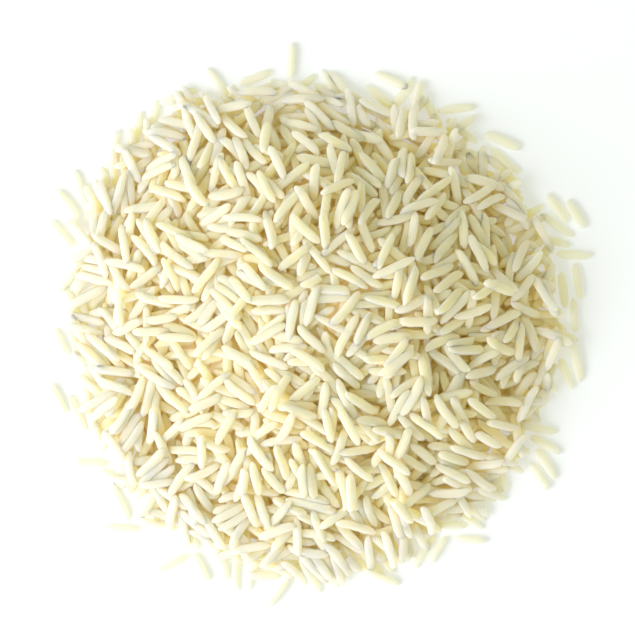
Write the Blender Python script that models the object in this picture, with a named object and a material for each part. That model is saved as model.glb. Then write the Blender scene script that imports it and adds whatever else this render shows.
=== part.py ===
"""A heap of dry long-grain white rice, poured on a flat surface, with stray grains round it.

The heap is one solid: a low mound with the grains that show lying half sunk in it.
Each grain that lies apart from the heap is a solid of its own.
Metres, +Z up. The origin is on the floor, at the middle of everything that lies there.
"""

import math
import random

import bmesh
import bpy
from mathutils import Matrix, Vector

MM = 0.001

# One grain of milled long-grain rice
GRAIN_LENGTH = 7.3 * MM
GRAIN_WIDTH = 1.85 * MM
GRAIN_THICKNESS = 1.55 * MM
LENGTH_SPREAD = 0.07  # share of the length, as a standard deviation
WIDTH_SPREAD = 0.05

# The mound
HEAP_CENTRE = (-1.2 * MM, 0.0)
HEAP_RADIUS = 48.4 * MM
HEAP_HEIGHT = 21.5 * MM
PEAK_OFFSET = (5.0 * MM, 6.0 * MM)  # from the heap's centre
CROWN_POWER = 1.7  # a higher value gives a rounder top
FOOT_POWER = 1.15  # a higher value gives a foot that runs out flatter
CORE_INSET = 0.55 * MM  # from the grains' mean height down to the mound under them
CORE_FOOT = 1.8 * MM  # from the outline in to the mound's own edge
CORE_SKIRT = 0.8 * MM  # height of the mound's edge above the floor
CORE_LUMPS = 0.3 * MM
CORE_SUBDIVISIONS = 3

# Waves of the outline: (number of lobes, height, direction of the first lobe in degrees)
OUTLINE_WAVES = (
    (1, 0.8 * MM, 225),
    (2, 1.0 * MM, 135),
    (3, 1.6 * MM, 13),
    (8, 0.5 * MM, 0),
)

# Hollows in the slopes: (x, y, depth, radius)
HOLLOWS = (
    (25 * MM, 20 * MM, 1.7 * MM, 11 * MM),
    (27 * MM, -4 * MM, 0.9 * MM, 9 * MM),
    (-14 * MM, 24 * MM, 0.8 * MM, 9 * MM),
    (-20 * MM, -16 * MM, 0.7 * MM, 10 * MM),
)

# The grains on the mound
SLOPE_PLACES = 540
TURNS_TRIED = 14
SLOPE_ROOM = 0.88 * GRAIN_WIDTH
STRAY_ROOM = 1.25 * GRAIN_WIDTH
RIM_GRAINS = 60
SUNK = 0.34  # share of the thickness that lies in the mound
TILT_SPREAD = 9.0  # degrees
FLOOR_GAP = 0.03 * MM
GOLDEN_ANGLE = math.pi * (3 - math.sqrt(5))
SEED = 3

# Grains at the heap's edge that stand out of the outline: (x mm, y mm, yaw in degrees)
EDGE_GRAINS = (
    (-20.4, 48.0, -55), (-18.6, 44.4, 68), (-8.2, 45.6, -64), (0.6, 46.4, 3),
    (3.9, 48.1, -52), (2.3, 47.4, -62), (16.2, 46.0, 50), (14.0, 49.1, -25),
    (11.9, 45.6, -40), (22.4, 42.6, -62), (27.2, 35.2, 50), (28.3, 38.8, -36),
    (31.1, 33.9, -16), (37.0, 32.8, -42), (36.6, 30.9, -42), (37.6, 25.6, -63),
    (41.2, 22.2, 22), (41.9, 20.0, 28), (47.4, 19.9, -37), (46.0, 16.9, -12),
    (46.0, 10.1, -82), (47.6, -1.7, -18), (47.0, -3.6, -2), (44.8, -6.5, 40),
    (44.0, -8.9, 12), (41.8, -13.0, -8), (42.7, -16.0, -76), (39.8, -21.6, 52),
    (36.0, -30.2, -65), (33.1, -31.5, -36), (29.2, -38.9, -33), (30.2, -37.0, -42),
    (25.2, -40.2, -5), (14.6, -44.4, -62), (4.7, -50.2, 47), (2.8, -48.6, 57),
    (-2.2, -48.8, 2), (-8.8, -48.9, -30), (-13.6, -49.9, 69), (-19.9, -47.5, -71),
    (-26.7, -41.8, -56), (-32.1, -37.5, 65), (-41.6, -31.0, -33), (-40.4, -35.6, -61),
    (-48.9, -18.0, -66), (-47.0, -14.8, -80), (-49.6, -3.2, -76), (-47.6, -2.4, -83),
    (-49.8, 4.1, -65), (-50.6, 9.2, 50), (-48.4, 27.6, -72), (-45.8, 24.9, -55),
    (-41.9, 34.9, 75), (-36.9, 39.0, 80), (-34.0, 41.0, 68), (-26.4, 44.6, 8),
)

# Grains that lie apart from the heap: (x mm, y mm, yaw in degrees)
STRAY_GRAINS = (
    (-6.1, 53.1, 88), (-13.2, 49.6, 21), (27.2, 43.4, 6), (36.5, 36.9, -24),
    (47.5, 23.4, -54), (51.2, 22.2, -57), (50.8, 14.0, -4), (48.7, 6.9, -84),
    (51.6, 8.6, -80), (50.9, 1.9, -86), (49.3, -10.0, -69), (45.2, -24.2, -30),
    (45.2, -28.0, -56), (43.7, -30.5, -56), (30.0, -43.3, -4), (23.4, -45.5, 58),
    (-8.6, -53.9, 52), (-24.2, -48.8, -62), (-30.1, -48.1, 26), (-40.4, -41.0, -3),
    (-46.2, -27.9, 0), (-52.4, -3.7, -64), (-53.0, -15.0, -63), (-52.4, 18.2, -50),
    (-50.9, 24.2, -50),
)


def outline_radius(angle):
    """Distance from the heap's centre to its foot, in a direction in radians."""
    waves = sum(
        height * math.cos(lobes * (angle - math.radians(first)))
        for lobes, height, first in OUTLINE_WAVES
    )
    return HEAP_RADIUS + waves


def heap_height(x, y):
    """Mean height of the heap's surface: a rounded cone whose peak stands off centre."""
    px, py = x - HEAP_CENTRE[0], y - HEAP_CENTRE[1]
    share = min(1.0, math.hypot(px, py) / outline_radius(math.atan2(py, px)))
    shift = 1 - share * share
    qx, qy = px - PEAK_OFFSET[0] * shift, py - PEAK_OFFSET[1] * shift
    from_peak = min(1.0, math.hypot(qx, qy) / outline_radius(math.atan2(qy, qx)))
    height = HEAP_HEIGHT * (1 - from_peak**CROWN_POWER) ** FOOT_POWER
    for hx, hy, depth, radius in HOLLOWS:
        near = math.hypot(x - hx, y - hy) / radius
        height -= depth * math.exp(-near * near) * shift
    return max(0.0, height)


def surface_normal(x, y):
    step = GRAIN_WIDTH
    across = (heap_height(x + step, y) - heap_height(x - step, y)) / (2 * step)
    along = (heap_height(x, y + step) - heap_height(x, y - step)) / (2 * step)
    return Vector((-across, -along, 1)).normalized()


def rice_material(name, colour):
    material = bpy.data.materials.new(name)
    material.use_nodes = True
    shader = material.node_tree.nodes["Principled BSDF"]
    shader.inputs["Base Color"].default_value = (*colour, 1)
    shader.inputs["Roughness"].default_value = 0.42
    shader.inputs["Metallic"].default_value = 0
    material.diffuse_color = (*colour, 1)
    return material


def new_object(name, shape, collection, material):
    mesh = bpy.data.meshes.new(name)
    shape.to_mesh(mesh)
    shape.free()
    mesh.materials.append(material)
    thing = bpy.data.objects.new(name, mesh)
    collection.objects.link(thing)
    return thing


def grain_shape(length, width, thickness, sides, rings):
    """A ball drawn out to a grain along X: full in the middle, tapering to blunt tips."""
    shape = bmesh.new()
    bmesh.ops.create_uvsphere(shape, u_segments=sides, v_segments=rings, radius=1)
    for vertex in shape.verts:
        along = vertex.co.z
        girth = math.hypot(vertex.co.x, vertex.co.y)
        if girth > 1e-6:
            fullness = (1 - abs(along) ** 2.6) ** 0.6 / girth
            side, up = vertex.co.x * fullness, vertex.co.y * fullness
        else:
            side, up = 0.0, 0.0
        vertex.co = (along * length / 2, side * width / 2, up * thickness / 2)
    return shape


def grain_matrix(centre, yaw, tilt, normal):
    """The grain's own X runs along yaw on the surface, its flat side lies on the surface."""
    heading = Vector((math.cos(yaw), math.sin(yaw), 0))
    along = (heading - normal * heading.dot(normal)).normalized()
    along = Matrix.Rotation(tilt, 3, normal.cross(along)) @ along
    side = normal.cross(along).normalized()
    up = along.cross(side)
    turn = Matrix((along, side, up)).transposed().to_4x4()
    return Matrix.Translation(centre) @ turn


def rest_on_floor(shape):
    """Lifts a shape that would reach under the floor."""
    lowest = min(vertex.co.z for vertex in shape.verts)
    if lowest < FLOOR_GAP:
        bmesh.ops.translate(shape, verts=shape.verts, vec=(0, 0, FLOOR_GAP - lowest))


def core_height(x, y):
    """Height of the mound under the grains, or zero outside it."""
    px, py = x - HEAP_CENTRE[0], y - HEAP_CENTRE[1]
    if math.hypot(px, py) > outline_radius(math.atan2(py, px)) - CORE_FOOT:
        return 0.0
    return max(CORE_SKIRT, heap_height(x, y) - CORE_INSET)


def place_grain(name, x, y, yaw, rng, collection, material, sides=4, rings=3):
    """One grain, half sunk in the heap's surface or lying on the floor."""
    length = GRAIN_LENGTH * max(0.8, rng.gauss(1, LENGTH_SPREAD))
    width = GRAIN_WIDTH * rng.gauss(1, WIDTH_SPREAD)
    shape = grain_shape(length, width, GRAIN_THICKNESS, sides, rings)
    ground = core_height(x, y)
    height = ground + GRAIN_THICKNESS * (0.5 - SUNK)
    on_slope = ground > 0
    normal = surface_normal(x, y) if on_slope else Vector((0, 0, 1))
    tilt = math.radians(rng.gauss(0, TILT_SPREAD)) if on_slope else 0.0
    matrix = grain_matrix(Vector((x, y, height)), yaw, tilt, normal)
    bmesh.ops.transform(shape, verts=shape.verts, matrix=matrix)
    if not on_slope:
        lowest = min(vertex.co.z for vertex in shape.verts)
        bmesh.ops.translate(shape, verts=shape.verts, vec=(0, 0, FLOOR_GAP - lowest))
    rest_on_floor(shape)
    return new_object(name, shape, collection, material)


def clear_of(x, y, yaw, others, room):
    """True if a grain at this place keeps its axis this far, in plan, from those in others."""
    half = GRAIN_LENGTH * 0.46
    steps = (-1, -0.5, 0, 0.5, 1)
    mine = [(x + half * s * math.cos(yaw), y + half * s * math.sin(yaw)) for s in steps]
    for ox, oy, oyaw in others:
        if math.hypot(ox - x, oy - y) > 2 * half + room:
            continue
        for s in steps:
            tx = ox + half * s * math.cos(oyaw)
            ty = oy + half * s * math.sin(oyaw)
            if any(math.hypot(tx - mx, ty - my) < room for mx, my in mine):
                return False
    return True


def core_shape(rng):
    """Half a ball, drawn out to the mound's outline and height, with a flat underside."""
    shape = bmesh.new()
    bmesh.ops.create_icosphere(shape, subdivisions=CORE_SUBDIVISIONS, radius=1)
    below = [vertex for vertex in shape.verts if vertex.co.z < -1e-4]
    bmesh.ops.delete(shape, geom=below, context="VERTS")
    for vertex in shape.verts:
        flat = Vector((vertex.co.x, vertex.co.y, 0))
        share = 2 / math.pi * math.asin(min(1.0, flat.length))
        angle = math.atan2(flat.y, flat.x)
        reach = share * (outline_radius(angle) - CORE_FOOT)
        x = HEAP_CENTRE[0] + reach * math.cos(angle)
        y = HEAP_CENTRE[1] + reach * math.sin(angle)
        height = max(CORE_SKIRT, heap_height(x, y) - CORE_INSET)
        if 0.01 < share < 0.99:
            height += rng.uniform(0, CORE_LUMPS)
        vertex.co = (x, y, height)
    rim = [edge for edge in shape.edges if edge.is_boundary]
    drawn = bmesh.ops.extrude_edge_only(shape, edges=rim)["geom"]
    for item in drawn:
        if isinstance(item, bmesh.types.BMVert):
            item.co.z = 0
    rim = [edge for edge in shape.edges if edge.is_boundary]
    bmesh.ops.contextual_create(shape, geom=rim)
    shape.normal_update()
    bmesh.ops.recalc_face_normals(shape, faces=shape.faces)
    return shape


def slope_places(rng):
    """Places even over the slopes, each turned so that the grain lies clear of the others."""
    places = []
    for number in range(SLOPE_PLACES):
        share = math.sqrt((number + 0.5) / SLOPE_PLACES)
        angle = number * GOLDEN_ANGLE
        reach = share * 0.96 * outline_radius(angle)
        x = HEAP_CENTRE[0] + reach * math.cos(angle)
        y = HEAP_CENTRE[1] + reach * math.sin(angle)
        for _ in range(TURNS_TRIED):
            yaw = rng.uniform(0, math.pi)
            if clear_of(x, y, yaw, places, SLOPE_ROOM):
                places.append((x, y, yaw))
                break
    return places


def heap_places(rng, strays):
    """Places of the grains that show: on the slopes, round the rim and at the edge."""
    places = slope_places(rng)
    for number in range(RIM_GRAINS):
        angle = math.tau * (number + rng.uniform(-0.3, 0.3)) / RIM_GRAINS
        reach = outline_radius(angle) - rng.uniform(0, 3.0) * MM
        x = HEAP_CENTRE[0] + reach * math.cos(angle)
        y = HEAP_CENTRE[1] + reach * math.sin(angle)
        places.append((x, y, rng.uniform(0, math.pi)))
    places += [(x * MM, y * MM, math.radians(yaw)) for x, y, yaw in EDGE_GRAINS]
    return [place for place in places if clear_of(*place, strays, STRAY_ROOM)]


def make_heap(collection, material, strays):
    rng = random.Random(SEED)
    heap = new_object("rice_heap", core_shape(rng), collection, material)
    grains = bpy.data.collections.new("heap_grains")
    bpy.context.scene.collection.children.link(grains)
    for number, (x, y, yaw) in enumerate(heap_places(rng, strays)):
        place_grain(f"heap_grain_{number:03d}", x, y, yaw, rng, grains, material)
    joined = heap.modifiers.new("join_grains", "BOOLEAN")
    joined.operation = "UNION"
    joined.operand_type = "COLLECTION"
    joined.collection = grains
    joined.solver = "MANIFOLD"
    graph = bpy.context.evaluated_depsgraph_get()
    whole = bpy.data.meshes.new_from_object(heap.evaluated_get(graph))
    heap.modifiers.clear()
    heap.data = whole
    for grain in list(grains.objects):
        bpy.data.objects.remove(grain)
    bpy.data.collections.remove(grains)
    keep_largest_piece(heap)
    return heap


def keep_largest_piece(thing):
    """Drops loose scraps that touch nothing, and closed hollows inside."""
    shape = bmesh.new()
    shape.from_mesh(thing.data)
    left = set(shape.verts)
    pieces = []
    while left:
        piece = {left.pop()}
        front = list(piece)
        while front:
            for edge in front.pop().link_edges:
                for vertex in edge.verts:
                    if vertex in left:
                        left.discard(vertex)
                        piece.add(vertex)
                        front.append(vertex)
        pieces.append(piece)
    largest = max(pieces, key=len)
    scraps = [vertex for vertex in shape.verts if vertex not in largest]
    bmesh.ops.delete(shape, geom=scraps, context="VERTS")
    shape.to_mesh(thing.data)
    shape.free()


def make_strays(collection, material, strays):
    rng = random.Random(SEED + 1)
    for number, (x, y, yaw) in enumerate(strays, start=1):
        name = f"stray_grain_{number:02d}"
        grain = place_grain(name, x, y, yaw, rng, collection, material, 6, 5)
        grain.data.shade_smooth()


def main():
    for thing in list(bpy.data.objects):
        bpy.data.objects.remove(thing)
    collection = bpy.data.collections.new("rice")
    bpy.context.scene.collection.children.link(collection)
    material = rice_material("white_rice", (0.86, 0.82, 0.62))
    strays = [(x * MM, y * MM, math.radians(yaw)) for x, y, yaw in STRAY_GRAINS]
    make_heap(collection, material, strays)
    make_strays(collection, material, strays)


main()
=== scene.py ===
# Heap of dry long-grain rice: real grains settled over a bed that keeps the CAD heap's form.
# Lengths are in millimetres until a mesh is made, and angles in radians unless a note says degrees.
import math

import bpy
import numpy as np
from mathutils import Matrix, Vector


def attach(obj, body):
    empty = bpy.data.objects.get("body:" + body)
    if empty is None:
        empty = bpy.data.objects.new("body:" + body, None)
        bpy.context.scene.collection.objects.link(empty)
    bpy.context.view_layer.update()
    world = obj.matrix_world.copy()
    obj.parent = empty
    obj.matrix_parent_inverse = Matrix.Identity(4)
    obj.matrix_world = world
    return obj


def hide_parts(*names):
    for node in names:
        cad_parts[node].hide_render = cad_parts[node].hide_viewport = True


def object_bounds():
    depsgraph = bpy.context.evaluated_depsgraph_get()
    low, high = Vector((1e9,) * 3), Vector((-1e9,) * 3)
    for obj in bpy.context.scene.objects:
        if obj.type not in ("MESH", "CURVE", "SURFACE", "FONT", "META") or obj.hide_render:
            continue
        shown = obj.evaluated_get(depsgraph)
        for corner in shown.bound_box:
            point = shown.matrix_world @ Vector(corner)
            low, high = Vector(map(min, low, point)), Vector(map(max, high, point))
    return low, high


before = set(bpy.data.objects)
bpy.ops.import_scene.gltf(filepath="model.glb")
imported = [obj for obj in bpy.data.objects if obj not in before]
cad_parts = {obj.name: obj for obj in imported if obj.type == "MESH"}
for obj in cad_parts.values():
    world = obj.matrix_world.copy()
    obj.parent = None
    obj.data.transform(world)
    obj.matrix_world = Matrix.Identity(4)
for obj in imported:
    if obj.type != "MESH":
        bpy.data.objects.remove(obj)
cadBox = np.array(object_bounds())
mm = 0.001

# Where the photo is taken from, for the camera and for the places of the grains that it shows
photo = {
    "middle": (-0.7, 0.9),  # what the middle of the picture looks at
    "height": 620.0,  # from the floor up to the camera
    "width": 127.0,  # what the picture's width spans at the level below
    "level": 4.0,
}

# The heap's form, from the same driving sizes as the CAD heap
heap = {
    "centre": (-1.2, 0.0),
    "radius": 48.4,
    "height": 21.5,
    "peakOffset": (5.0, 6.0),
    "crownPower": 1.7,
    "footPower": 1.15,
    # Each wave of the foot: lobes, height, direction in degrees
    "waves": ((1, 0.8, 225), (2, 1.0, 135), (3, 1.6, 13), (8, 0.5, 0)),
    # Each hollow: x, y, depth, radius
    "hollows": ((25, 20, 1.7, 11), (27, -4, 0.9, 9), (-14, 24, 0.8, 9), (-20, -16, 0.7, 10)),
    "rimLayer": 0.95,  # mean height of the single layer of grains at the foot
}


def footRadius(angle):
    # Distance from the heap's centre to its foot: a circle with a few long waves added.
    waves = sum(h * np.cos(n * (angle - math.radians(d))) for n, h, d in heap["waves"])
    return heap["radius"] + waves


def heapHeight(x, y):
    # A rounded cone: height times (1 - s^crown)^foot, where s is the share of the way from
    # the off-centre peak to the foot, less a soft round dent for each hollow.
    px, py = x - heap["centre"][0], y - heap["centre"][1]
    share = np.minimum(1, np.hypot(px, py) / footRadius(np.arctan2(py, px)))
    shift = 1 - share**2
    qx, qy = px - heap["peakOffset"][0] * shift, py - heap["peakOffset"][1] * shift
    fromPeak = np.minimum(1, np.hypot(qx, qy) / footRadius(np.arctan2(qy, qx)))
    height = heap["height"] * (1 - fromPeak ** heap["crownPower"]) ** heap["footPower"]
    for hx, hy, depth, radius in heap["hollows"]:
        height = height - depth * np.exp(-((x - hx) ** 2 + (y - hy) ** 2) / radius**2) * shift
    return np.maximum(0, height)


# One grain of milled long-grain rice, and how much grains differ
grain = {
    "length": 8.1,
    "width": 1.76,
    "thickness": 1.45,
    "lengthSpread": 0.07,  # spreads are shares of the mean
    "shortest": 0.83,  # least share of the mean length
    "widthSpread": 0.06,
    "thicknessSpread": 0.04,
    "sides": 8,
    "rings": 7,
    "ringStart": 0.62,  # how far in from each tip the first ring lies, in steps between rings
    "brokenShare": 0.03,
    "brokenLength": (0.45, 0.8),
    "brokenBelow": 6.6,  # a grain shorter than this has a broken end
    "brokenStop": 0.55,  # where the last ring of a broken grain lies, from -1 to 1
    "brokenBulge": 0.03,  # how far its broken face stands out from that ring
    "point": 2.7,  # powers of the girth at the two ends, while grains settle
    "blunt": 3.4,
    "points": (3.0, 4.6),  # ranges of the same powers in the grains that are drawn
    "blunts": (4.0, 6.5),
    "squareness": 3.6,
    "taper": 0.5,
    "germLean": (0.1, 0.65),  # how far the blunt end leans to one side, in half widths
    "tipLean": 0.2,
    "leanFrom": 0.4,  # where along the grain an end starts to lean
    "bend": 0.2,
    "bendMiddle": 0.35,  # shifts the bend, so that a bent grain stays over its place
    "roll": 0.25,
    "strayGerm": 0.25,  # a stray grain leans and bends by these shares, to stay in its CAD place
    "strayTip": 0.4,
    "strayBend": 0.25,
    "flankCore": 0.3,  # where a ring is smaller than this share of the width, its sides get less painted light
    "tipFade": 8,  # the last eighth of each end is painted lighter, as light shining through the narrow tip
    "floorGap": 0.01,
    "boxGap": 0.03,
    "mapMargin": 0.04,  # empty share round each grain's own square of the map
}


def girth(along, point=grain["point"], blunt=grain["blunt"]):
    # Half width over the greatest half width, for along from -1 to 1: (1 - |along|^p)^taper,
    # with a lower power p at the pointed end than at the blunt germ end.
    power = np.where(along > 0, blunt, point)
    return (1 - np.minimum(1, np.abs(along)) ** power) ** grain["taper"]


# How the grains are settled
pile = {
    "seed": 11,
    "kindSeed": 5,
    "cell": 0.25,  # side of one cell of the height map
    "reach": 62.0,  # half the side of the square height map
    "bedDepth": 2.8,  # from the heap's form down to the bed
    "tries": (3, 14),  # places tried for each grain
    "spread": 1.7,  # how far from the lowest spot they are tried
    "alongSteps": 11,  # points under a grain that have to be clear, and how far out they go
    "alongReach": 0.94,
    "acrossReach": 0.6,
    "slopes": 25,  # slopes tried for each place, up to the steepest
    "steepest": 0.75,
    "steepCost": 0.9,  # keeps steep grains off the heap
    "endRise": 0.8,  # share of the slope's rise that an end reaches, because it is pointed
    "boxRoom": 0.3,  # a settled grain stays this far inside the CAD box
    "lookouts": 160,  # spots looked at before each grain, with the ground around each
    "lookAround": 0.8,
    "below": 1.8,  # the fill stops this far under the form, because the last grains stand proud
    "mostGrains": 3200,
    "enough": 0.12,  # a spot that lacks less than this is full
    "patience": 30,  # looks in a row that find every spot full, after which the fill ends
    "giveUpRadius": 1.0,  # ground that asks for less where no grain would lie
    "topGrains": 180,  # strewn over the heap at the end of the fill
    "topReach": 44,
    "topTries": 4,
    "alike": 0.55,  # share of grains that lie nearly as the nearest seen one does
    "alikeSpread": 0.4,
    "seenTries": 8,  # places tried for a grain seen on top, and how far they stray and turn
    "seenSpread": 0.35,
    "seenTurn": 0.08,
    "strayRoom": 0.45,  # clear ground round a stray grain
    "strayTrim": 0.2,  # a stray grain is this much shorter than its CAD node
    "strayLift": 0.02,
    "nestle": 0.74,  # share of a grain's height that keeps others off
    "skinReach": 6,  # cells over which gaps in the heap's skin are bridged, each way
}

# Grains at the heap's edge, read from the photo: x, y, yaw in degrees
edgeGrains = (
    (-20.4, 48.0, -55), (-18.6, 44.4, 68), (-8.2, 45.6, -64), (0.6, 46.4, 3),
    (3.9, 48.1, -52), (2.3, 47.4, -62), (16.2, 46.0, 50), (14.0, 49.1, -25),
    (11.9, 45.6, -40), (22.4, 42.6, -62), (27.2, 35.2, 50), (28.3, 38.8, -36),
    (31.1, 33.9, -16), (37.0, 32.8, -42), (36.6, 30.9, -42), (37.6, 25.6, -63),
    (41.2, 22.2, 22), (41.9, 20.0, 28), (47.4, 19.9, -37), (46.0, 16.9, -12),
    (46.0, 10.1, -82), (47.6, -1.7, -18), (47.0, -3.6, -2), (44.8, -6.5, 40),
    (44.0, -8.9, 12), (41.8, -13.0, -8), (42.7, -16.0, -76), (39.8, -21.6, 52),
    (36.0, -30.2, -65), (33.1, -31.5, -36), (29.2, -38.9, -33), (30.2, -37.0, -42),
    (25.2, -40.2, -5), (14.6, -44.4, -62), (4.7, -50.2, 47), (2.8, -48.6, 57),
    (-2.2, -48.8, 2), (-8.8, -48.9, -30), (-13.6, -49.9, 69), (-19.9, -47.5, -71),
    (-26.7, -41.8, -56), (-32.1, -37.5, 65), (-41.6, -31.0, -33), (-40.4, -35.6, -61),
    (-48.9, -18.0, -66), (-47.0, -14.8, -80), (-49.6, -3.2, -76), (-47.6, -2.4, -83),
    (-49.8, 4.1, -65), (-50.6, 9.2, 50), (-48.4, 27.6, -72), (-45.8, 24.9, -55),
    (-41.9, 34.9, 75), (-36.9, 39.0, 80), (-34.0, 41.0, 68), (-26.4, 44.6, 8),
)

# Grains on top that the photo shows whole: x, y as seen, yaw in degrees
seenGrains = (
    (-4.0, 40.9, -21), (-2.5, 37.2, -47), (2.8, 36.9, -24), (5.4, 38.4, -29), (-0.4, 41.5, -46),
    (-10.9, 37.2, 88), (-8.0, 32.8, -63), (-13.1, 34.7, -50), (-16.7, 33.6, -67), (-10.3, 27.7, -65),
    (9.6, 29.2, -44), (3.7, 31.7, 75), (3.7, 28.0, 22), (-7.3, 24.6, 58), (-3.2, 24.3, -55),
    (-0.5, 23.3, -55), (6.5, 23.9, 63), (9.4, 23.5, 58), (-18.0, 39.6, -50), (-17.4, 42.5, 15),
    (0.5, 17.2, 87), (10.2, 7.5, 2), (10.0, 5.8, 1), (-19.5, 14.1, -3), (-13.1, 14.2, -35),
    (-5.4, 18.0, 27), (-2.5, 13.4, 62), (-5.1, -1.5, 80), (-2.4, -3.8, -62), (-0.2, -1.0, -24),
    (2.8, -5.8, -43), (-16.0, 6.4, -52), (-17.3, 2.5, -32), (6.9, 2.5, 37), (13.2, 15.1, 70),
    (7.9, 17.2, 62), (-11.3, 19.7, -66), (-15.0, 17.6, -12), (-16.0, 20.7, -3), (1.3, 0.7, -50),
    (6.5, 13.4, -50), (0.8, 5.3, 30), (1.4, 7.9, -12), (-10.7, -1.5, 26), (-10.9, -7.4, -20),
    (-40.0, 26.6, 68), (-42.7, 25.6, -68), (-30.9, 36.0, -28), (-30.6, 37.8, -8), (-25.9, 36.6, 72),
    (-22.7, 39.5, -57), (-22.1, 42.7, -62), (-31.4, 26.9, -12), (-27.9, 30.2, -65), (-25.2, 27.0, -60),
    (-32.2, 33.0, 33), (-37.9, 31.9, -65), (20.6, 15.8, 62), (24.7, 15.2, 46), (25.0, 17.6, 41),
    (31.6, 13.8, -69), (30.1, 11.1, -61), (25.3, 8.2, 43), (18.6, 7.7, 78), (15.0, 5.4, -71),
    (20.5, 5.6, 82), (21.8, 2.0, 88), (23.2, 10.9, 22), (25.4, 3.9, 47), (27.2, 3.7, 50),
    (30.6, 3.2, 16), (16.6, -2.0, -30), (18.8, 0.6, 8), (13.6, 1.0, 2), (15.3, -5.3, 51),
    (15.5, -7.6, 43), (20.8, -10.1, -72), (24.0, -2.6, 30), (27.7, -3.5, 2), (29.0, -4.9, -5),
    (25.2, -7.2, -35), (31.8, -6.5, 33), (31.9, -9.3, 14), (35.6, -4.4, -24), (35.3, 7.4, -25),
    (40.8, 7.5, 46), (40.2, 13.8, 55), (41.6, 11.5, 42), (41.8, 3.3, -25), (37.1, 1.5, 25),
    (38.1, -1.1, 58), (40.1, -2.8, 88), (42.3, -2.0, -73), (13.8, 10.7, 38), (27.2, 27.3, -76),
    (30.7, 24.5, -60), (24.5, 32.4, -2), (23.2, 23.7, 50), (23.0, 27.0, 35), (18.8, 40.7, 80),
    (16.0, 39.4, 88), (18.2, 31.1, 86), (24.0, 34.5, 70), (32.5, 28.7, -4), (15.1, 23.7, 60),
    (18.7, 24.1, 30), (18.5, 26.8, 65), (15.2, 28.8, 70), (14.5, 30.5, 85), (15.6, 32.7, 88),
    (32.4, 26.0, 30), (34.5, 24.9, 32), (21.4, 36.2, 55), (20.8, 38.0, 5), (-29.9, 10.4, -54),
    (-25.7, 13.8, -25), (-35.3, 9.7, 28), (-35.9, 5.0, 38), (-40.5, 9.1, -56), (-39.2, 12.1, -10),
    (-43.5, 13.5, -75), (-42.8, 16.0, -40), (-33.2, 4.4, -15), (-28.1, 4.8, 3), (-35.0, -0.3, -88),
    (-38.1, -0.1, 30), (-32.2, 1.7, 18), (-33.8, -2.2, -5), (-29.3, -2.4, -5), (-40.2, -4.2, -22),
    (-42.8, -4.4, -45), (-33.0, -7.3, -30), (-40.4, 3.3, 80), (-45.3, 8.9, -15), (-38.9, 16.2, -80),
    (-34.2, 17.4, -62), (-29.1, 14.0, -35), (-25.9, 15.8, -27), (-22.6, -3.8, 35), (-23.2, 10.5, 60),
    (-29.9, -15.2, -37), (-29.6, -20.4, 42), (-33.5, -19.6, 76), (-37.5, -22.6, 62), (-31.5, -24.2, -62),
    (-23.4, -25.2, -85), (-37.5, -29.1, -85), (-34.2, -27.4, 42), (-33.4, -29.7, 38), (-32.8, -31.6, 8),
    (-23.6, -29.9, 25), (-27.3, -30.9, 45), (-25.9, -37.0, -47), (-23.0, -15.5, 30), (-22.0, -12.7, 35),
    (-40.0, -18.7, 50), (-25.1, -19.9, 20), (-36.5, -13.5, 68), (-44.4, -15.0, 30), (-42.8, -17.0, 32),
    (-41.0, -24.4, -55), (-15.6, -13.7, -38), (-11.2, -14.0, 62), (-8.6, -13.5, 72), (-3.4, -13.1, 45),
    (-4.4, -16.0, -3), (-5.0, -17.7, -20), (-16.3, -17.2, -8), (-10.9, -20.9, 36), (-6.8, -20.7, 68),
    (1.6, -20.4, -86), (-0.5, -23.5, -33), (3.6, -24.4, 66), (7.4, -25.0, 18), (6.0, -21.3, -64),
    (8.8, -21.1, -48), (4.5, -15.6, -57), (7.8, -16.2, -32), (-4.4, -26.2, -65), (-1.6, -31.3, -85),
    (0.9, -28.3, -67), (4.1, -32.7, -76), (5.9, -34.0, -78), (7.2, -29.5, -37), (10.1, -37.6, -74),
    (6.5, -40.5, -18), (-0.4, -40.3, -65), (-2.1, -35.6, -18), (-5.9, -36.4, -22), (-8.0, -38.1, 42),
    (-11.7, -37.8, -60), (-9.0, -40.9, 20), (-8.2, -27.6, -68), (-11.8, -26.2, -48), (-16.3, -27.6, 58),
    (-12.8, -30.7, -82), (-9.6, -31.1, -50), (-15.7, -31.5, 80), (-19.0, -20.9, 62), (-4.2, -31.1, -86),
    (-17.5, -39.7, 30), (-14.1, -37.0, -65), (10.0, -19.5, -8), (15.2, -16.4, 57), (20.9, -16.9, -75),
    (26.2, -14.6, 8), (25.2, -18.1, -60), (27.0, -17.0, -62), (32.5, -13.7, -22), (31.8, -16.2, -40),
    (40.5, -15.4, 60), (37.3, -15.5, -3), (34.1, -20.7, -40), (36.6, -19.9, -22), (29.5, -21.3, -55),
    (27.7, -22.2, -37), (20.9, -20.1, -38), (13.8, -20.7, -8), (20.2, -26.3, -40), (18.1, -28.3, -35),
    (25.5, -25.3, -13), (30.0, -25.1, -25), (26.1, -27.5, -22), (33.2, -27.8, 12), (27.1, -29.5, -25),
    (27.1, -31.7, -25), (20.4, -32.3, -12), (25.5, -33.4, 5), (19.4, -35.2, 47), (23.4, -36.1, 38),
    (16.5, -37.2, -45), (14.7, -39.3, -72), (20.8, -38.4, -72), (13.6, -31.5, -65), (16.2, -32.3, -55),
    (17.7, -20.3, -52), (16.4, -24.4, 78), (13.3, -24.8, 85), (14.5, -28.4, -37), (32.6, -22.5, -25),
    (18.3, -14.2, 65),
)
seenRows = np.array(seenGrains)

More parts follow.
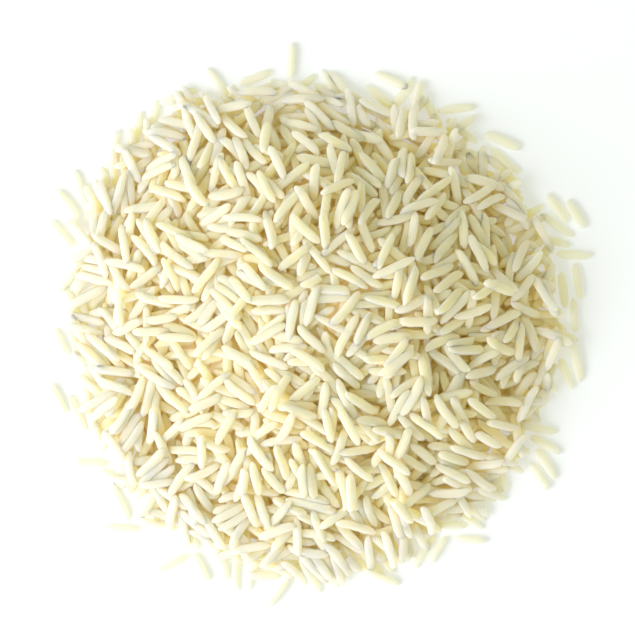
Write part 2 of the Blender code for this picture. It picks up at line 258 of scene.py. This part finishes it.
dice = np.random.default_rng(pile["seed"])
axis = np.arange(-pile["reach"], pile["reach"] + pile["cell"] / 2, pile["cell"])
mapX, mapY = np.meshgrid(axis, axis, indexing="ij")
form = heapHeight(mapX, mapY)
inHeap = np.hypot(mapX - heap["centre"][0], mapY - heap["centre"][1]) < footRadius(
    np.arctan2(mapY - heap["centre"][1], mapX - heap["centre"][0])
)
wanted = np.where(inHeap, np.maximum(form - pile["below"], heap["rimLayer"]), 0)
surface = np.maximum(0, form - pile["bedDepth"])  # height of what lies there so far
taken = np.zeros(surface.shape, bool)  # where a stray grain keeps others away
grains = []  # one row each: x, y, z, yaw, slope, length, width, thickness


def cellOf(value):
    return np.clip(np.rint((value + pile["reach"]) / pile["cell"]).astype(int), 0, len(axis) - 1)


def drawSize(share=1.0):
    # Length, width and thickness of one grain, with its own small differences.
    length = grain["length"] * max(grain["shortest"], dice.normal(1, grain["lengthSpread"])) * share
    width = grain["width"] * dice.normal(1, grain["widthSpread"])
    return length, width, grain["thickness"] * dice.normal(1, grain["thicknessSpread"])


alongSteps = np.linspace(-pile["alongReach"], pile["alongReach"], pile["alongSteps"])
acrossSteps = np.array([-pile["acrossReach"], 0.0, pile["acrossReach"]])
slopeSteps = np.linspace(-pile["steepest"], pile["steepest"], pile["slopes"])


def restOn(x, y, yaw, length, width, thickness):
    # For each place tried: the lowest height of the grain's middle and its slope there. A
    # line through the middle must clear the surface under every point of the grain, and
    # among all slopes the one that lets the middle sink furthest is where the grain rests.
    t = alongSteps * length / 2
    s = acrossSteps[:, None] * girth(alongSteps) * width / 2
    under = pile["nestle"] * thickness / 2 * girth(alongSteps) * np.sqrt(1 - acrossSteps[:, None] ** 2)
    px = x[:, None, None] + t * np.cos(yaw)[:, None, None] - s * np.sin(yaw)[:, None, None]
    py = y[:, None, None] + t * np.sin(yaw)[:, None, None] + s * np.cos(yaw)[:, None, None]
    i, j = cellOf(px), cellOf(py)
    clear = (surface[i, j] + under).max(1)  # places by steps along
    middle = (clear[:, None, :] - slopeSteps[:, None] * t).max(2)  # places by slopes
    best = middle.argmin(1)
    return middle[np.arange(len(x)), best], slopeSteps[best], taken[i, j].any((1, 2))


def layDown(x, y, z, yaw, slope, length, width, thickness):
    # Notes the grain and raises the surface map to its upper side.
    grains.append((x, y, z, yaw, slope, length, width, thickness))
    reach = length / 2 + pile["cell"]
    i0, i1 = cellOf(np.array([x - reach, x + reach]))
    j0, j1 = cellOf(np.array([y - reach, y + reach]))
    dx, dy = mapX[i0 : i1 + 1, j0 : j1 + 1] - x, mapY[i0 : i1 + 1, j0 : j1 + 1] - y
    along = dx * math.cos(yaw) + dy * math.sin(yaw)
    across = dy * math.cos(yaw) - dx * math.sin(yaw)
    lean = math.hypot(1, slope)
    half = np.maximum(1e-6, girth(along * lean / (length / 2)) * width / 2)
    inside = (np.abs(along) * lean < length / 2) & (np.abs(across) < half)
    swell = np.sqrt(np.maximum(0, 1 - (across / half) ** 2))
    rise = pile["nestle"] * thickness * half / width * swell * lean
    patch = surface[i0 : i1 + 1, j0 : j1 + 1]
    patch[inside] = np.maximum(patch, z + slope * along + rise)[inside]


def keepClear(x, y, yaw, length, width):
    # Marks the ground round a stray grain, so that no other grain touches it.
    dx, dy = mapX - x, mapY - y
    along = dx * math.cos(yaw) + dy * math.sin(yaw)
    across = dy * math.cos(yaw) - dx * math.sin(yaw)
    room = pile["strayRoom"]
    taken[(np.abs(along) < length / 2 + room) & (np.abs(across) < width / 2 + room)] = True


def strayPlace(node):
    # Middle, yaw and length of a stray grain: its CAD node's box and longest direction.
    count = len(node.data.vertices)
    points = np.empty(count * 3)
    node.data.vertices.foreach_get("co", points)
    points = points.reshape(-1, 3) / mm
    middle = (points.max(0) + points.min(0)) / 2
    spread = np.linalg.eigh(np.cov((points - middle)[:, :2].T))[1][:, 1]
    span = (points - middle)[:, :2] @ spread
    return middle, math.atan2(spread[1], spread[0]), np.ptp(span)


def anyYaw(x, y, count):
    # Yaws to try: near that of the closest grain seen on top for over half, else any.
    if dice.random() > pile["alike"]:
        return dice.uniform(-math.pi, math.pi, count)
    nearest = np.hypot(seenRows[:, 0] - x, seenRows[:, 1] - y).argmin()
    return math.radians(seenRows[nearest, 2]) + dice.normal(0, pile["alikeSpread"], count)


def settle(x, y, yaw, size, spread):
    # Tries a place near x, y for each yaw, and lays the grain where its middle lies lowest
    # compared with the form wanted there. Gives False if no place will do.
    tryX = x + dice.normal(0, spread, len(yaw))
    tryY = y + dice.normal(0, spread, len(yaw))
    middle, slope, barred = restOn(tryX, tryY, yaw, *size)
    over = middle - wanted[cellOf(tryX), cellOf(tryY)] + pile["steepCost"] * np.abs(slope)
    top = middle + np.abs(slope) * size[0] / 2 * pile["endRise"] + size[2] / 2
    spanX = np.abs(size[0] / 2 * np.cos(yaw)) + size[1] / 2
    spanY = np.abs(size[0] / 2 * np.sin(yaw)) + size[1] / 2
    low, high = cadBox[0] / mm + pile["boxRoom"], cadBox[1] / mm - pile["boxRoom"]
    barred |= (tryX - spanX < low[0]) | (tryX + spanX > high[0]) | (top > high[2])
    barred |= (tryY - spanY < low[1]) | (tryY + spanY > high[1])
    over = np.where(barred, np.inf, over)
    best = over.argmin()
    if not np.isfinite(over[best]):
        return False
    layDown(tryX[best], tryY[best], middle[best], yaw[best], slope[best], *size)
    return True


print("Laying the stray grains")
strayNodes = sorted(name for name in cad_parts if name.startswith("stray_grain"))
for name in strayNodes:
    middle, yaw, length = strayPlace(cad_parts[name])
    _, width, thickness = drawSize()
    length -= pile["strayTrim"]
    height = thickness / 2 + pile["strayLift"]
    layDown(middle[0], middle[1], height, yaw, 0.0, length, width, thickness)
    keepClear(middle[0], middle[1], yaw, length, width)
strayCount = len(grains)

print("Laying the grains at the edge")
for x, y, yaw in edgeGrains:
    size = drawSize()
    middle, slope, _ = restOn(np.array([x]), np.array([y]), np.array([math.radians(yaw)]), *size)
    layDown(x, y, middle[0], math.radians(yaw), slope[0], *size)

print("Settling the heap")
quiet = 0
around = ((0, 0), (1, 0), (-1, 0), (0, 1), (0, -1))
while len(grains) < pile["mostGrains"] and quiet < pile["patience"]:
    lookX = dice.uniform(axis[0], axis[-1], pile["lookouts"])
    lookY = dice.uniform(axis[0], axis[-1], pile["lookouts"])
    lack = np.zeros(pile["lookouts"])
    for ox, oy in around:
        i, j = cellOf(lookX + ox * pile["lookAround"]), cellOf(lookY + oy * pile["lookAround"])
        lack += (wanted[i, j] - surface[i, j]) / len(around)
    lack[taken[cellOf(lookX), cellOf(lookY)]] = -np.inf
    spot = lack.argmax()
    if lack[spot] < pile["enough"]:
        quiet += 1
        continue
    quiet = 0
    broken = dice.random() < grain["brokenShare"]
    size = drawSize(dice.uniform(*grain["brokenLength"]) if broken else 1.0)
    yaw = anyYaw(lookX[spot], lookY[spot], dice.integers(*pile["tries"]))
    if not settle(lookX[spot], lookY[spot], yaw, size, pile["spread"]):
        nearby = np.hypot(mapX - lookX[spot], mapY - lookY[spot]) < pile["giveUpRadius"]
        wanted[nearby] -= pile["enough"]
for x, y in dice.uniform(-pile["topReach"], pile["topReach"], (pile["topGrains"], 2)):
    if math.hypot(x, y) < pile["topReach"]:
        settle(x, y, anyYaw(x, y, pile["topTries"]), drawSize(), pile["spread"])

print("Laying the grains seen on top")
eyeX, eyeY = photo["middle"]
for x, y, yaw in seenGrains:
    # A grain high up is seen further out from the photo's middle, so it is pulled in.
    pull = heapHeight(x, y) / photo["height"]
    x, y = x + (eyeX - x) * pull, y + (eyeY - y) * pull
    nudged = math.radians(yaw) + dice.normal(0, pile["seenTurn"], pile["seenTries"])
    settle(x, y, nudged, drawSize(), pile["seenSpread"])
print("Grains:", len(grains))
rows = np.array(grains)


def overCells(heights, pick, reach):
    # The lowest or highest of the map's cells within reach of each one, along both sides in turn.
    for side in (0, 1):
        heights = pick.reduce([np.roll(heights, step, side) for step in range(-reach, reach + 1)])
    return heights


# The heap's skin: the surface with every gap narrower than about 3 mm bridged
skin = overCells(overCells(surface, np.maximum, pile["skinReach"]), np.minimum, pile["skinReach"])

# Where a broken grain ends, from -1 to 1
brokenEnd = grain["brokenStop"] + grain["brokenBulge"]


def unitGrain(count, picks):
    # Points of count grains on a grid of rings and sides. Along goes from tip to tip with
    # the rings closer at the ends. A ring is a squarish oval: girth times |cos|^(2/n) and
    # |sin|^(2/n) with their signs, so its top is nearly flat. Towards each end the ring's
    # middle leans to one side with the square of the way, most at the germ end, which gives
    # the slanted tip. A broken grain stops short at a blunt face.
    rings, sides = grain["rings"], grain["sides"]
    turn = 2 * math.pi * (np.arange(sides) + 0.5) / sides
    start = grain["ringStart"]
    step = -np.cos(math.pi * (np.arange(rings) + start) / (rings - 1 + 2 * start))
    along = np.broadcast_to(step, (count, rings)).copy()
    cut = picks["broken"]
    along[cut] = -1 + (along[cut] + 1) * (1 + grain["brokenStop"]) / (1 + step[-1])
    reach = girth(along, picks["point"][:, None], picks["blunt"][:, None])
    power = 2 / grain["squareness"]
    y = reach[:, :, None] * np.sign(np.cos(turn)) * np.abs(np.cos(turn)) ** power
    z = reach[:, :, None] * np.sign(np.sin(turn)) * np.abs(np.sin(turn)) ** power
    x = np.broadcast_to(along[:, :, None], y.shape)
    points = np.stack([x, y, z], -1).reshape(count, rings * sides, 3)
    tips = np.zeros((count, 2, 3))
    tips[:, 0, 0] = -1
    tips[:, 1, 0] = np.where(cut, brokenEnd, 1)
    points = np.concatenate([points, tips], 1)
    way, leanFrom = points[:, :, 0], grain["leanFrom"]
    toGerm = np.clip((way - leanFrom) / (1 - leanFrom), 0, 1) ** 2 * ~cut[:, None]
    toTip = np.clip((-way - leanFrom) / (1 - leanFrom), 0, 1) ** 2
    points[:, :, 1] += picks["germLean"][:, None] * toGerm
    points[:, :, 1] += picks["tipLean"][:, None] * toTip
    return points


def grainFaces():
    # Faces of one grain as loops of point numbers, quads between rings and a fan at each
    # tip, with the matching places on the grain's own square of the map.
    rings, sides = grain["rings"], grain["sides"]
    quads, fans, quadMap, fanMap = [], [], [], []
    for r in range(rings - 1):
        for s in range(sides):
            n = (s + 1) % sides
            quads.append((r * sides + s, r * sides + n, (r + 1) * sides + n, (r + 1) * sides + s))
            quadMap.append(((r + 1, s), (r + 1, s + 1), (r + 2, s + 1), (r + 2, s)))
    for s in range(sides):
        n = (s + 1) % sides
        fans.append((rings * sides, n, s))
        fanMap.append(((0, s + 0.5), (1, s + 1), (1, s)))
        last = (rings - 1) * sides
        fans.append((rings * sides + 1, last + s, last + n))
        fanMap.append(((rings + 1, s + 0.5), (rings, s), (rings, s + 1)))
    loops = np.array([v for face in quads + fans for v in face])
    spots = np.array([p for face in quadMap + fanMap for p in face], float)
    spots /= (rings + 1, sides)
    starts = np.cumsum([0] + [4] * len(quads) + [3] * (len(fans) - 1))
    return loops, starts, spots


def makeGrains(name, which, finish):
    # One mesh of all the grains in which, each turned to its yaw and slope and put in place.
    count = len(which)
    own = np.random.default_rng(pile["seed"] + len(name) + count)
    row = rows[which]
    length, width, thickness = row[:, 5], row[:, 6], row[:, 7]
    picks = {
        "broken": length < grain["brokenBelow"],
        "point": own.uniform(*grain["points"], count),
        "blunt": own.uniform(*grain["blunts"], count),
        "germLean": own.choice([-1, 1], count) * own.uniform(*grain["germLean"], count),
        "tipLean": own.normal(0, grain["tipLean"], count),
    }
    lone = which < strayCount
    picks["germLean"][lone] *= grain["strayGerm"]
    picks["tipLean"][lone] *= grain["strayTip"]
    points = unitGrain(count, picks)
    whole = np.where(picks["broken"], 2 / (1 + brokenEnd), 1.0)
    shift = np.where(picks["broken"], (1 - brokenEnd) / 2, 0.0)
    bend = own.normal(0, grain["bend"], count)
    bend[lone] *= grain["strayBend"]
    along = points[:, :, 0].copy()
    outward = np.hypot(points[:, :, 1], points[:, :, 2])
    flank = np.abs(points[:, :, 1]) / np.maximum(grain["flankCore"], outward)
    tip = np.clip(np.abs(along) * grain["tipFade"] - (grain["tipFade"] - 1), 0, 1)
    paintedEdgeShare = np.maximum(flank, tip)  # painted light: the narrow sides and the tips, made lighter as if light shone through them
    x = (along + shift[:, None]) * (length * whole / 2)[:, None]
    y = points[:, :, 1] * (width / 2)[:, None] + bend[:, None] * (along**2 - grain["bendMiddle"])
    z = points[:, :, 2] * (thickness / 2)[:, None]
    flip = np.where(own.random(count) < 0.5, -1.0, 1.0)[:, None]  # either end may point either way
    x, y = x * flip, y * flip
    roll = own.normal(0, grain["roll"], count)[:, None]
    y, z = y * np.cos(roll) - z * np.sin(roll), y * np.sin(roll) + z * np.cos(roll)
    pitch = np.arctan(row[:, 4])[:, None]
    yaw = row[:, 3][:, None]
    flat = x * np.cos(pitch) - z * np.sin(pitch)
    z = x * np.sin(pitch) + z * np.cos(pitch)
    x, y = flat * np.cos(yaw) - y * np.sin(yaw), flat * np.sin(yaw) + y * np.cos(yaw)
    place = np.stack([x + row[:, :1], y + row[:, 1:2], z + row[:, 2:3]], -1)
    place[:, :, 2] = np.maximum(place[:, :, 2], grain["floorGap"])
    # A grain that reaches over a side of the CAD box moves in
    low, high = (cadBox[:, :2] / mm) + np.array([[grain["boxGap"]], [-grain["boxGap"]]])
    place[:, :, :2] += np.maximum(0, low - place[:, :, :2].min(1))[:, None]
    place[:, :, :2] -= np.maximum(0, place[:, :, :2].max(1) - high)[:, None]
    loops, starts, spots = grainFaces()
    perGrain = points.shape[1]
    allLoops = (loops + perGrain * np.arange(count)[:, None]).ravel()
    allStarts = (starts + len(loops) * np.arange(count)[:, None]).ravel()
    mesh = bpy.data.meshes.new(name)
    mesh.vertices.add(count * perGrain)
    mesh.loops.add(len(allLoops))
    mesh.polygons.add(len(allStarts))
    mesh.vertices.foreach_set("co", (place * mm).astype(np.float32).ravel())
    mesh.loops.foreach_set("vertex_index", allLoops.astype(np.int32))
    mesh.polygons.foreach_set("loop_start", allStarts.astype(np.int32))
    cells = math.ceil(math.sqrt(count))
    corner = np.stack([np.arange(count) % cells, np.arange(count) // cells], -1)
    margin = grain["mapMargin"]
    atlas = (corner[:, None, :] + margin + (1 - 2 * margin) * spots) / cells
    mesh.update(calc_edges=True)
    mesh.uv_layers.new(name="OFBake").uv.foreach_set("vector", atlas.astype(np.float32).ravel())
    # Painted shade: how far under the heap's skin each point lies, for golden shade painted on grains
    # further down
    under = skin[cellOf(place[:, :, 0]), cellOf(place[:, :, 1])] - place[:, :, 2]
    paintedShade = np.clip(under / rice["paintedShadeBelow"], 0, 1)
    # Painted light: grains where the heap is low get light coming up through them painted in
    paintedUplight = 1 - np.clip(heapHeight(row[:, 0], row[:, 1]) / rice["paintedUplightBelow"], 0, 1)
    for label, value in (
        ("paintedUplight", np.repeat(paintedUplight, perGrain)),
        ("tone", np.repeat(own.random(count), perGrain)),
        ("chalk", np.repeat(own.random(count), perGrain)),
        ("speck", np.repeat(own.random(count), perGrain)),
        ("paintedShade", paintedShade.ravel()),
        ("along", along.ravel()),
        ("paintedEdgeShare", paintedEdgeShare.ravel()),
    ):
        layer = mesh.attributes.new(label, "FLOAT", "POINT")
        layer.data.foreach_set("value", value.astype(np.float32))
    mesh.shade_smooth()
    mesh.validate()
    mesh.materials.append(finish)
    piece = bpy.data.objects.new(name, mesh)
    bpy.context.scene.collection.objects.link(piece)
    return piece


# The mound under the grains, its colour painted golden shade
mound = {
    "rings": 44,
    "sides": 120,
    "inset": 5.0,  # from the heap's foot in to the edge of the mound
    "lowered": 0.15,
    "edgeHeight": 0.4,
    "underside": 0.02,
    "lump": 0.25,
    "lumpWaves": (2.1, 0.9, 1.7, 0.6),  # how fast the lumps change along x and y, for two waves
}


def makeBed(name, finish):
    # The closed mound under the grains: rings of points from the middle to the mound's edge,
    # at the form's height less the bed's depth, with lumps where two slanted waves cross,
    # and a flat underside.
    rings, sides = mound["rings"], mound["sides"]
    share = np.linspace(0, 1, rings)[:, None]
    angle = np.linspace(0, 2 * math.pi, sides, endpoint=False)[None, :]
    radius = share * (footRadius(angle) - mound["inset"])
    x = heap["centre"][0] + radius * np.cos(angle)
    y = heap["centre"][1] + radius * np.sin(angle)
    a, b, c, d = mound["lumpWaves"]
    lumps = mound["lump"] * np.sin(a * x + b * y) * np.sin(c * y - d * x)
    z = np.maximum(mound["edgeHeight"], heapHeight(x, y) - pile["bedDepth"] - mound["lowered"] + lumps)
    z[0] = z[0].mean()
    top = np.stack([x, y, z], -1)[1:].reshape(-1, 3)
    edge = np.stack([x[-1], y[-1], np.full(sides, mound["underside"])], -1)
    crown = np.array([[x[0, 0], y[0, 0], z[0, 0]]])
    foot = np.array([[x[0, 0], y[0, 0], mound["underside"]]])
    points = np.concatenate([top, edge, crown, foot])
    numbers = np.arange(rings * sides).reshape(rings, sides)  # the last row is the lower edge
    left, right = numbers[:-1], np.roll(numbers, -1, 1)[:-1]
    up, upRight = numbers[1:], np.roll(numbers, -1, 1)[1:]
    quads = np.stack([left, up, upRight, right], -1).reshape(-1, 4)
    inner, outer = numbers[0], numbers[-1]
    crownFan = [(rings * sides, a, b) for a, b in zip(inner, np.roll(inner, -1))]
    footFan = [(rings * sides + 1, b, a) for a, b in zip(outer, np.roll(outer, -1))]
    mesh = bpy.data.meshes.new(name)
    mesh.from_pydata(points * mm, [], quads.tolist() + crownFan + footFan)
    mesh.shade_smooth()
    mesh.materials.append(finish)
    piece = bpy.data.objects.new(name, mesh)
    bpy.context.scene.collection.objects.link(piece)
    return piece


# Colours and finish of the rice. A pair after a colour is where that colour starts and is full.
rice = {
    "pearl": (0.90, 0.85, 0.46),
    "pearlShare": 0.46,
    "pearlChalk": 0.8,  # grains that draw more than this have a chalky cloud
    "cream": (0.90, 0.84, 0.41),
    "creamShare": 0.84,  # pearly and creamy grains together, the rest are chalky ones
    "creamChalk": 0.9,
    "chalk": (0.92, 0.895, 0.51),
    "chalkChalk": 0.2,
    "chalkSoft": 0.12,  # how far above that draw the cloud is full
    "warm": (0.90, 0.81, 0.34),  # the other end of each tint's range
    "tan": (0.84, 0.70, 0.40),
    "tanFrom": (0.94, 0.98),
    "cloudScale": 420,
    "cloudFrom": (0.35, 0.7),
    "rim": (0.98, 0.95, 0.57),  # painted light: sides and tips made lighter, as light shining through the narrow grain
    "rimFrom": (0.58, 0.9),
    # painted light: grains where the heap is low are painted lighter, as light coming up through them
    "paintedUplight": (0.93, 0.915, 0.60),
    "paintedUplightBelow": 8.5,  # where the heap is lower than this, light coming up through the grains is painted in
    "paintedUplightShare": 0.85,
    # painted shade: grains further down the heap are painted the golden shade between the grains
    "paintedShade": (0.93, 0.75, 0.27),
    "paintedShadeBelow": 2.4,  # this far under the heap's skin a grain is painted in full golden shade
    "paintedShadeFrom": (0.0, 0.8),
    "speck": (0.50, 0.38, 0.12),
    "speckFrom": (0.93, 0.97),
    "germFrom": (0.86, 0.99),
    "roughness": 0.42,
    "specular": 0.12,
    "subsurface": 1.0,
    "radius": (1.0, 0.95, 0.65),
    "scatter": 6.0,
    "grainScale": 1500,  # fine unevenness of the skin
    "grainBump": 0.25,
    "grainDepth": 0.06,
    # Painted shade: the mound under the grains is coloured as the golden shade between them
    "shadeBed": (0.76, 0.56, 0.20),
    "bedScale": 500,
    "bedFrom": (0.3, 0.7),
    "bedRoughness": 0.6,
}


def wire(tree, source, target):
    tree.links.new(source, target)


def attribute(tree, label):
    node = tree.nodes.new("ShaderNodeAttribute")
    node.attribute_name = label
    return node.outputs["Fac"]


def ramp(tree, source, low, high):
    # A share from 0 to 1 as the source goes from low to high.
    node = tree.nodes.new("ShaderNodeMapRange")
    node.interpolation_type = "SMOOTHSTEP"
    node.inputs["From Min"].default_value = low
    node.inputs["From Max"].default_value = high
    wire(tree, source, node.inputs["Value"])
    return node.outputs["Result"]


def times(tree, a, b):
    node = tree.nodes.new("ShaderNodeMath")
    node.operation = "MULTIPLY"
    for value, socket in ((a, node.inputs[0]), (b, node.inputs[1])):
        if isinstance(value, (int, float)):
            socket.default_value = value
        else:
            wire(tree, value, socket)
    return node.outputs[0]


def blendColour(tree, share, first, second):
    node = tree.nodes.new("ShaderNodeMix")
    node.data_type = "RGBA"
    wire(tree, share, node.inputs["Factor"])
    for value, socket in ((first, node.inputs["A"]), (second, node.inputs["B"])):
        if isinstance(value, tuple):
            socket.default_value = (*value, 1)
        else:
            wire(tree, value, socket)
    return node.outputs["Result"]


def noise(tree, scale, detail):
    place = tree.nodes.new("ShaderNodeTexCoord")
    node = tree.nodes.new("ShaderNodeTexNoise")
    node.inputs["Scale"].default_value = scale
    node.inputs["Detail"].default_value = detail
    wire(tree, place.outputs["Object"], node.inputs["Vector"])
    return node.outputs["Fac"]


def riceFinish(name, tint, chalkFrom):
    # Cream translucent rice: each grain has its own tone, a few are tan, some are chalky,
    # and a few have a brown speck at the germ end. Sides and tips get painted light, so do
    # grains where the heap is low, and grains further down get painted golden shade.
    finish = bpy.data.materials.new(name)
    finish.use_nodes = True
    tree = finish.node_tree
    shader = tree.nodes["Principled BSDF"]
    colour = blendColour(tree, attribute(tree, "tone"), tint, rice["warm"])
    tan = ramp(tree, attribute(tree, "tone"), *rice["tanFrom"])
    colour = blendColour(tree, tan, colour, rice["tan"])
    cloud = ramp(tree, noise(tree, rice["cloudScale"], 2), *rice["cloudFrom"])
    drawn = ramp(tree, attribute(tree, "chalk"), chalkFrom, chalkFrom + rice["chalkSoft"])
    colour = blendColour(tree, times(tree, drawn, cloud), colour, rice["chalk"])
    # Painted light: the narrow sides and tips turn lighter
    rim = ramp(tree, attribute(tree, "paintedEdgeShare"), *rice["rimFrom"])
    colour = blendColour(tree, rim, colour, rice["rim"])
    # Painted light coming up through grains where the heap is low
    paintedUplight = times(tree, ramp(tree, attribute(tree, "paintedUplight"), 0.0, 1.0), rice["paintedUplightShare"])
    colour = blendColour(tree, paintedUplight, colour, rice["paintedUplight"])
    # Painted shade: grains further down turn golden
    paintedShade = ramp(tree, attribute(tree, "paintedShade"), *rice["paintedShadeFrom"])
    colour = blendColour(tree, paintedShade, colour, rice["paintedShade"])
    atGerm = ramp(tree, attribute(tree, "along"), *rice["germFrom"])
    specked = ramp(tree, attribute(tree, "speck"), *rice["speckFrom"])
    colour = blendColour(tree, times(tree, atGerm, specked), colour, rice["speck"])
    wire(tree, colour, shader.inputs["Base Color"])
    shader.inputs["Roughness"].default_value = rice["roughness"]
    shader.inputs["Specular IOR Level"].default_value = rice["specular"]
    shader.inputs["Subsurface Weight"].default_value = rice["subsurface"]
    shader.inputs["Subsurface Radius"].default_value = rice["radius"]
    shader.inputs["Subsurface Scale"].default_value = rice["scatter"] * mm
    bump = tree.nodes.new("ShaderNodeBump")
    bump.inputs["Strength"].default_value = rice["grainBump"]
    bump.inputs["Distance"].default_value = rice["grainDepth"] * mm
    wire(tree, noise(tree, rice["grainScale"], 3), bump.inputs["Height"])
    wire(tree, bump.outputs["Normal"], shader.inputs["Normal"])
    return finish


def bedFinish():
    # The golden shade between the grains, mottled at the size of a grain's width.
    finish = bpy.data.materials.new("goldenShade")
    finish.use_nodes = True
    tree = finish.node_tree
    shader = tree.nodes["Principled BSDF"]
    mottle = ramp(tree, noise(tree, rice["bedScale"], 3), *rice["bedFrom"])
    colour = blendColour(tree, mottle, rice["shadeBed"], rice["paintedShade"])
    wire(tree, colour, shader.inputs["Base Color"])
    shader.inputs["Roughness"].default_value = rice["bedRoughness"]
    return finish


print("Making the pieces")
loose = np.arange(strayCount, len(rows))
draw = np.random.default_rng(pile["kindSeed"]).random(len(loose))
short = rows[loose, 5] < grain["brokenBelow"]
isPearly, isChalky = draw < rice["pearlShare"], draw >= rice["creamShare"]
pearly = riceFinish("pearlyRice", rice["pearl"], rice["pearlChalk"])
creamy = riceFinish("creamyRice", rice["cream"], rice["creamChalk"])
chalky = riceFinish("chalkyRice", rice["chalk"], rice["chalkChalk"])
kinds = {
    "pearly_grains": (loose[~short & isPearly], pearly),
    "creamy_grains": (loose[~short & ~isPearly & ~isChalky], creamy),
    "chalky_grains": (loose[~short & isChalky], chalky),
    "broken_grains": (loose[short], pearly),
}
for name, (which, finish) in kinds.items():
    piece = makeGrains(name, which, finish)
    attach(piece, "root")
    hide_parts("rice_heap")
strays = makeGrains("stray_grains", np.arange(strayCount), pearly)
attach(strays, "root")
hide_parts(*strayNodes)
shadeBed = makeBed("rice_shade_bed", bedFinish())
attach(shadeBed, "root")
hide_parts("rice_heap")

# Floor, light and picture, with the stage's own lengths and places in metres
stage = {
    "floorSize": 1.6,
    "floorColour": (0.80, 0.86, 0.99),
    "floorRoughness": 0.9,
    "floorSpecular": 0.1,
    "floorGlow": 0.255,
    "glowColour": (0.75, 0.88, 1),
    "world": 0.41,
    "worldColour": (1, 0.92, 0.40),
    "gamma": 1.9,  # the photo's soft contrast
    "bounces": 12,  # pale grains pass light on many times
    "window": {"size": 0.7, "power": 8.0, "place": (-0.54, -0.23, 0.35)},
    "ceiling": {"size": 0.5, "power": 0.45, "place": (-0.38, -0.14, 0.62)},
}


def makeFloor():
    # A wide flat square, a hair under the grains.
    half = stage["floorSize"] / 2
    mesh = bpy.data.meshes.new("floor")
    corners = [(-half, -half, 0), (half, -half, 0), (half, half, 0), (-half, half, 0)]
    mesh.from_pydata(corners, [], [(0, 1, 2, 3)])
    finish = bpy.data.materials.new("paleFloor")
    finish.use_nodes = True
    shader = finish.node_tree.nodes["Principled BSDF"]
    shader.inputs["Base Color"].default_value = (*stage["floorColour"], 1)
    shader.inputs["Roughness"].default_value = stage["floorRoughness"]
    shader.inputs["Specular IOR Level"].default_value = stage["floorSpecular"]
    shader.inputs["Emission Color"].default_value = (*stage["glowColour"], 1)
    shader.inputs["Emission Strength"].default_value = stage["floorGlow"]
    mesh.materials.append(finish)
    floor = bpy.data.objects.new("floor", mesh)
    bpy.context.scene.collection.objects.link(floor)


def makeLight(name, size, power, place):
    # A soft round lamp that shines at the middle of the floor.
    lamp = bpy.data.lights.new(name, "AREA")
    lamp.shape = "DISK"
    lamp.size = size
    lamp.energy = power
    light = bpy.data.objects.new(name, lamp)
    light.location = place
    yaw = math.atan2(-place[1], -place[0])
    tilt = math.atan2(math.hypot(place[0], place[1]), place[2])
    light.rotation_euler = (tilt, 0, yaw - math.pi / 2)
    bpy.context.scene.collection.objects.link(light)


def makeCamera():
    # Looks straight down, through the lens that makes the picture span what the photo does.
    lens = bpy.data.cameras.new("camera")
    lens.sensor_width = 36
    lens.sensor_fit = "HORIZONTAL"
    lens.lens = lens.sensor_width * (photo["height"] - photo["level"]) / photo["width"]
    lens.clip_start = 0.01
    camera = bpy.data.objects.new("camera", lens)
    camera.location = (photo["middle"][0] * mm, photo["middle"][1] * mm, photo["height"] * mm)
    bpy.context.scene.collection.objects.link(camera)
    bpy.context.scene.camera = camera


print("Setting the stage")
makeFloor()
makeLight("window", **stage["window"])
makeLight("ceiling", **stage["ceiling"])
makeCamera()
world = bpy.data.worlds.new("world")
world.use_nodes = True
sky = world.node_tree.nodes["Background"]
sky.inputs["Color"].default_value = (*stage["worldColour"], 1)
sky.inputs["Strength"].default_value = stage["world"]
bpy.context.scene.world = world
bpy.context.scene.view_settings.view_transform = "Standard"
bpy.context.scene.view_settings.gamma = stage["gamma"]
bpy.context.scene.cycles.diffuse_bounces = stage["bounces"]
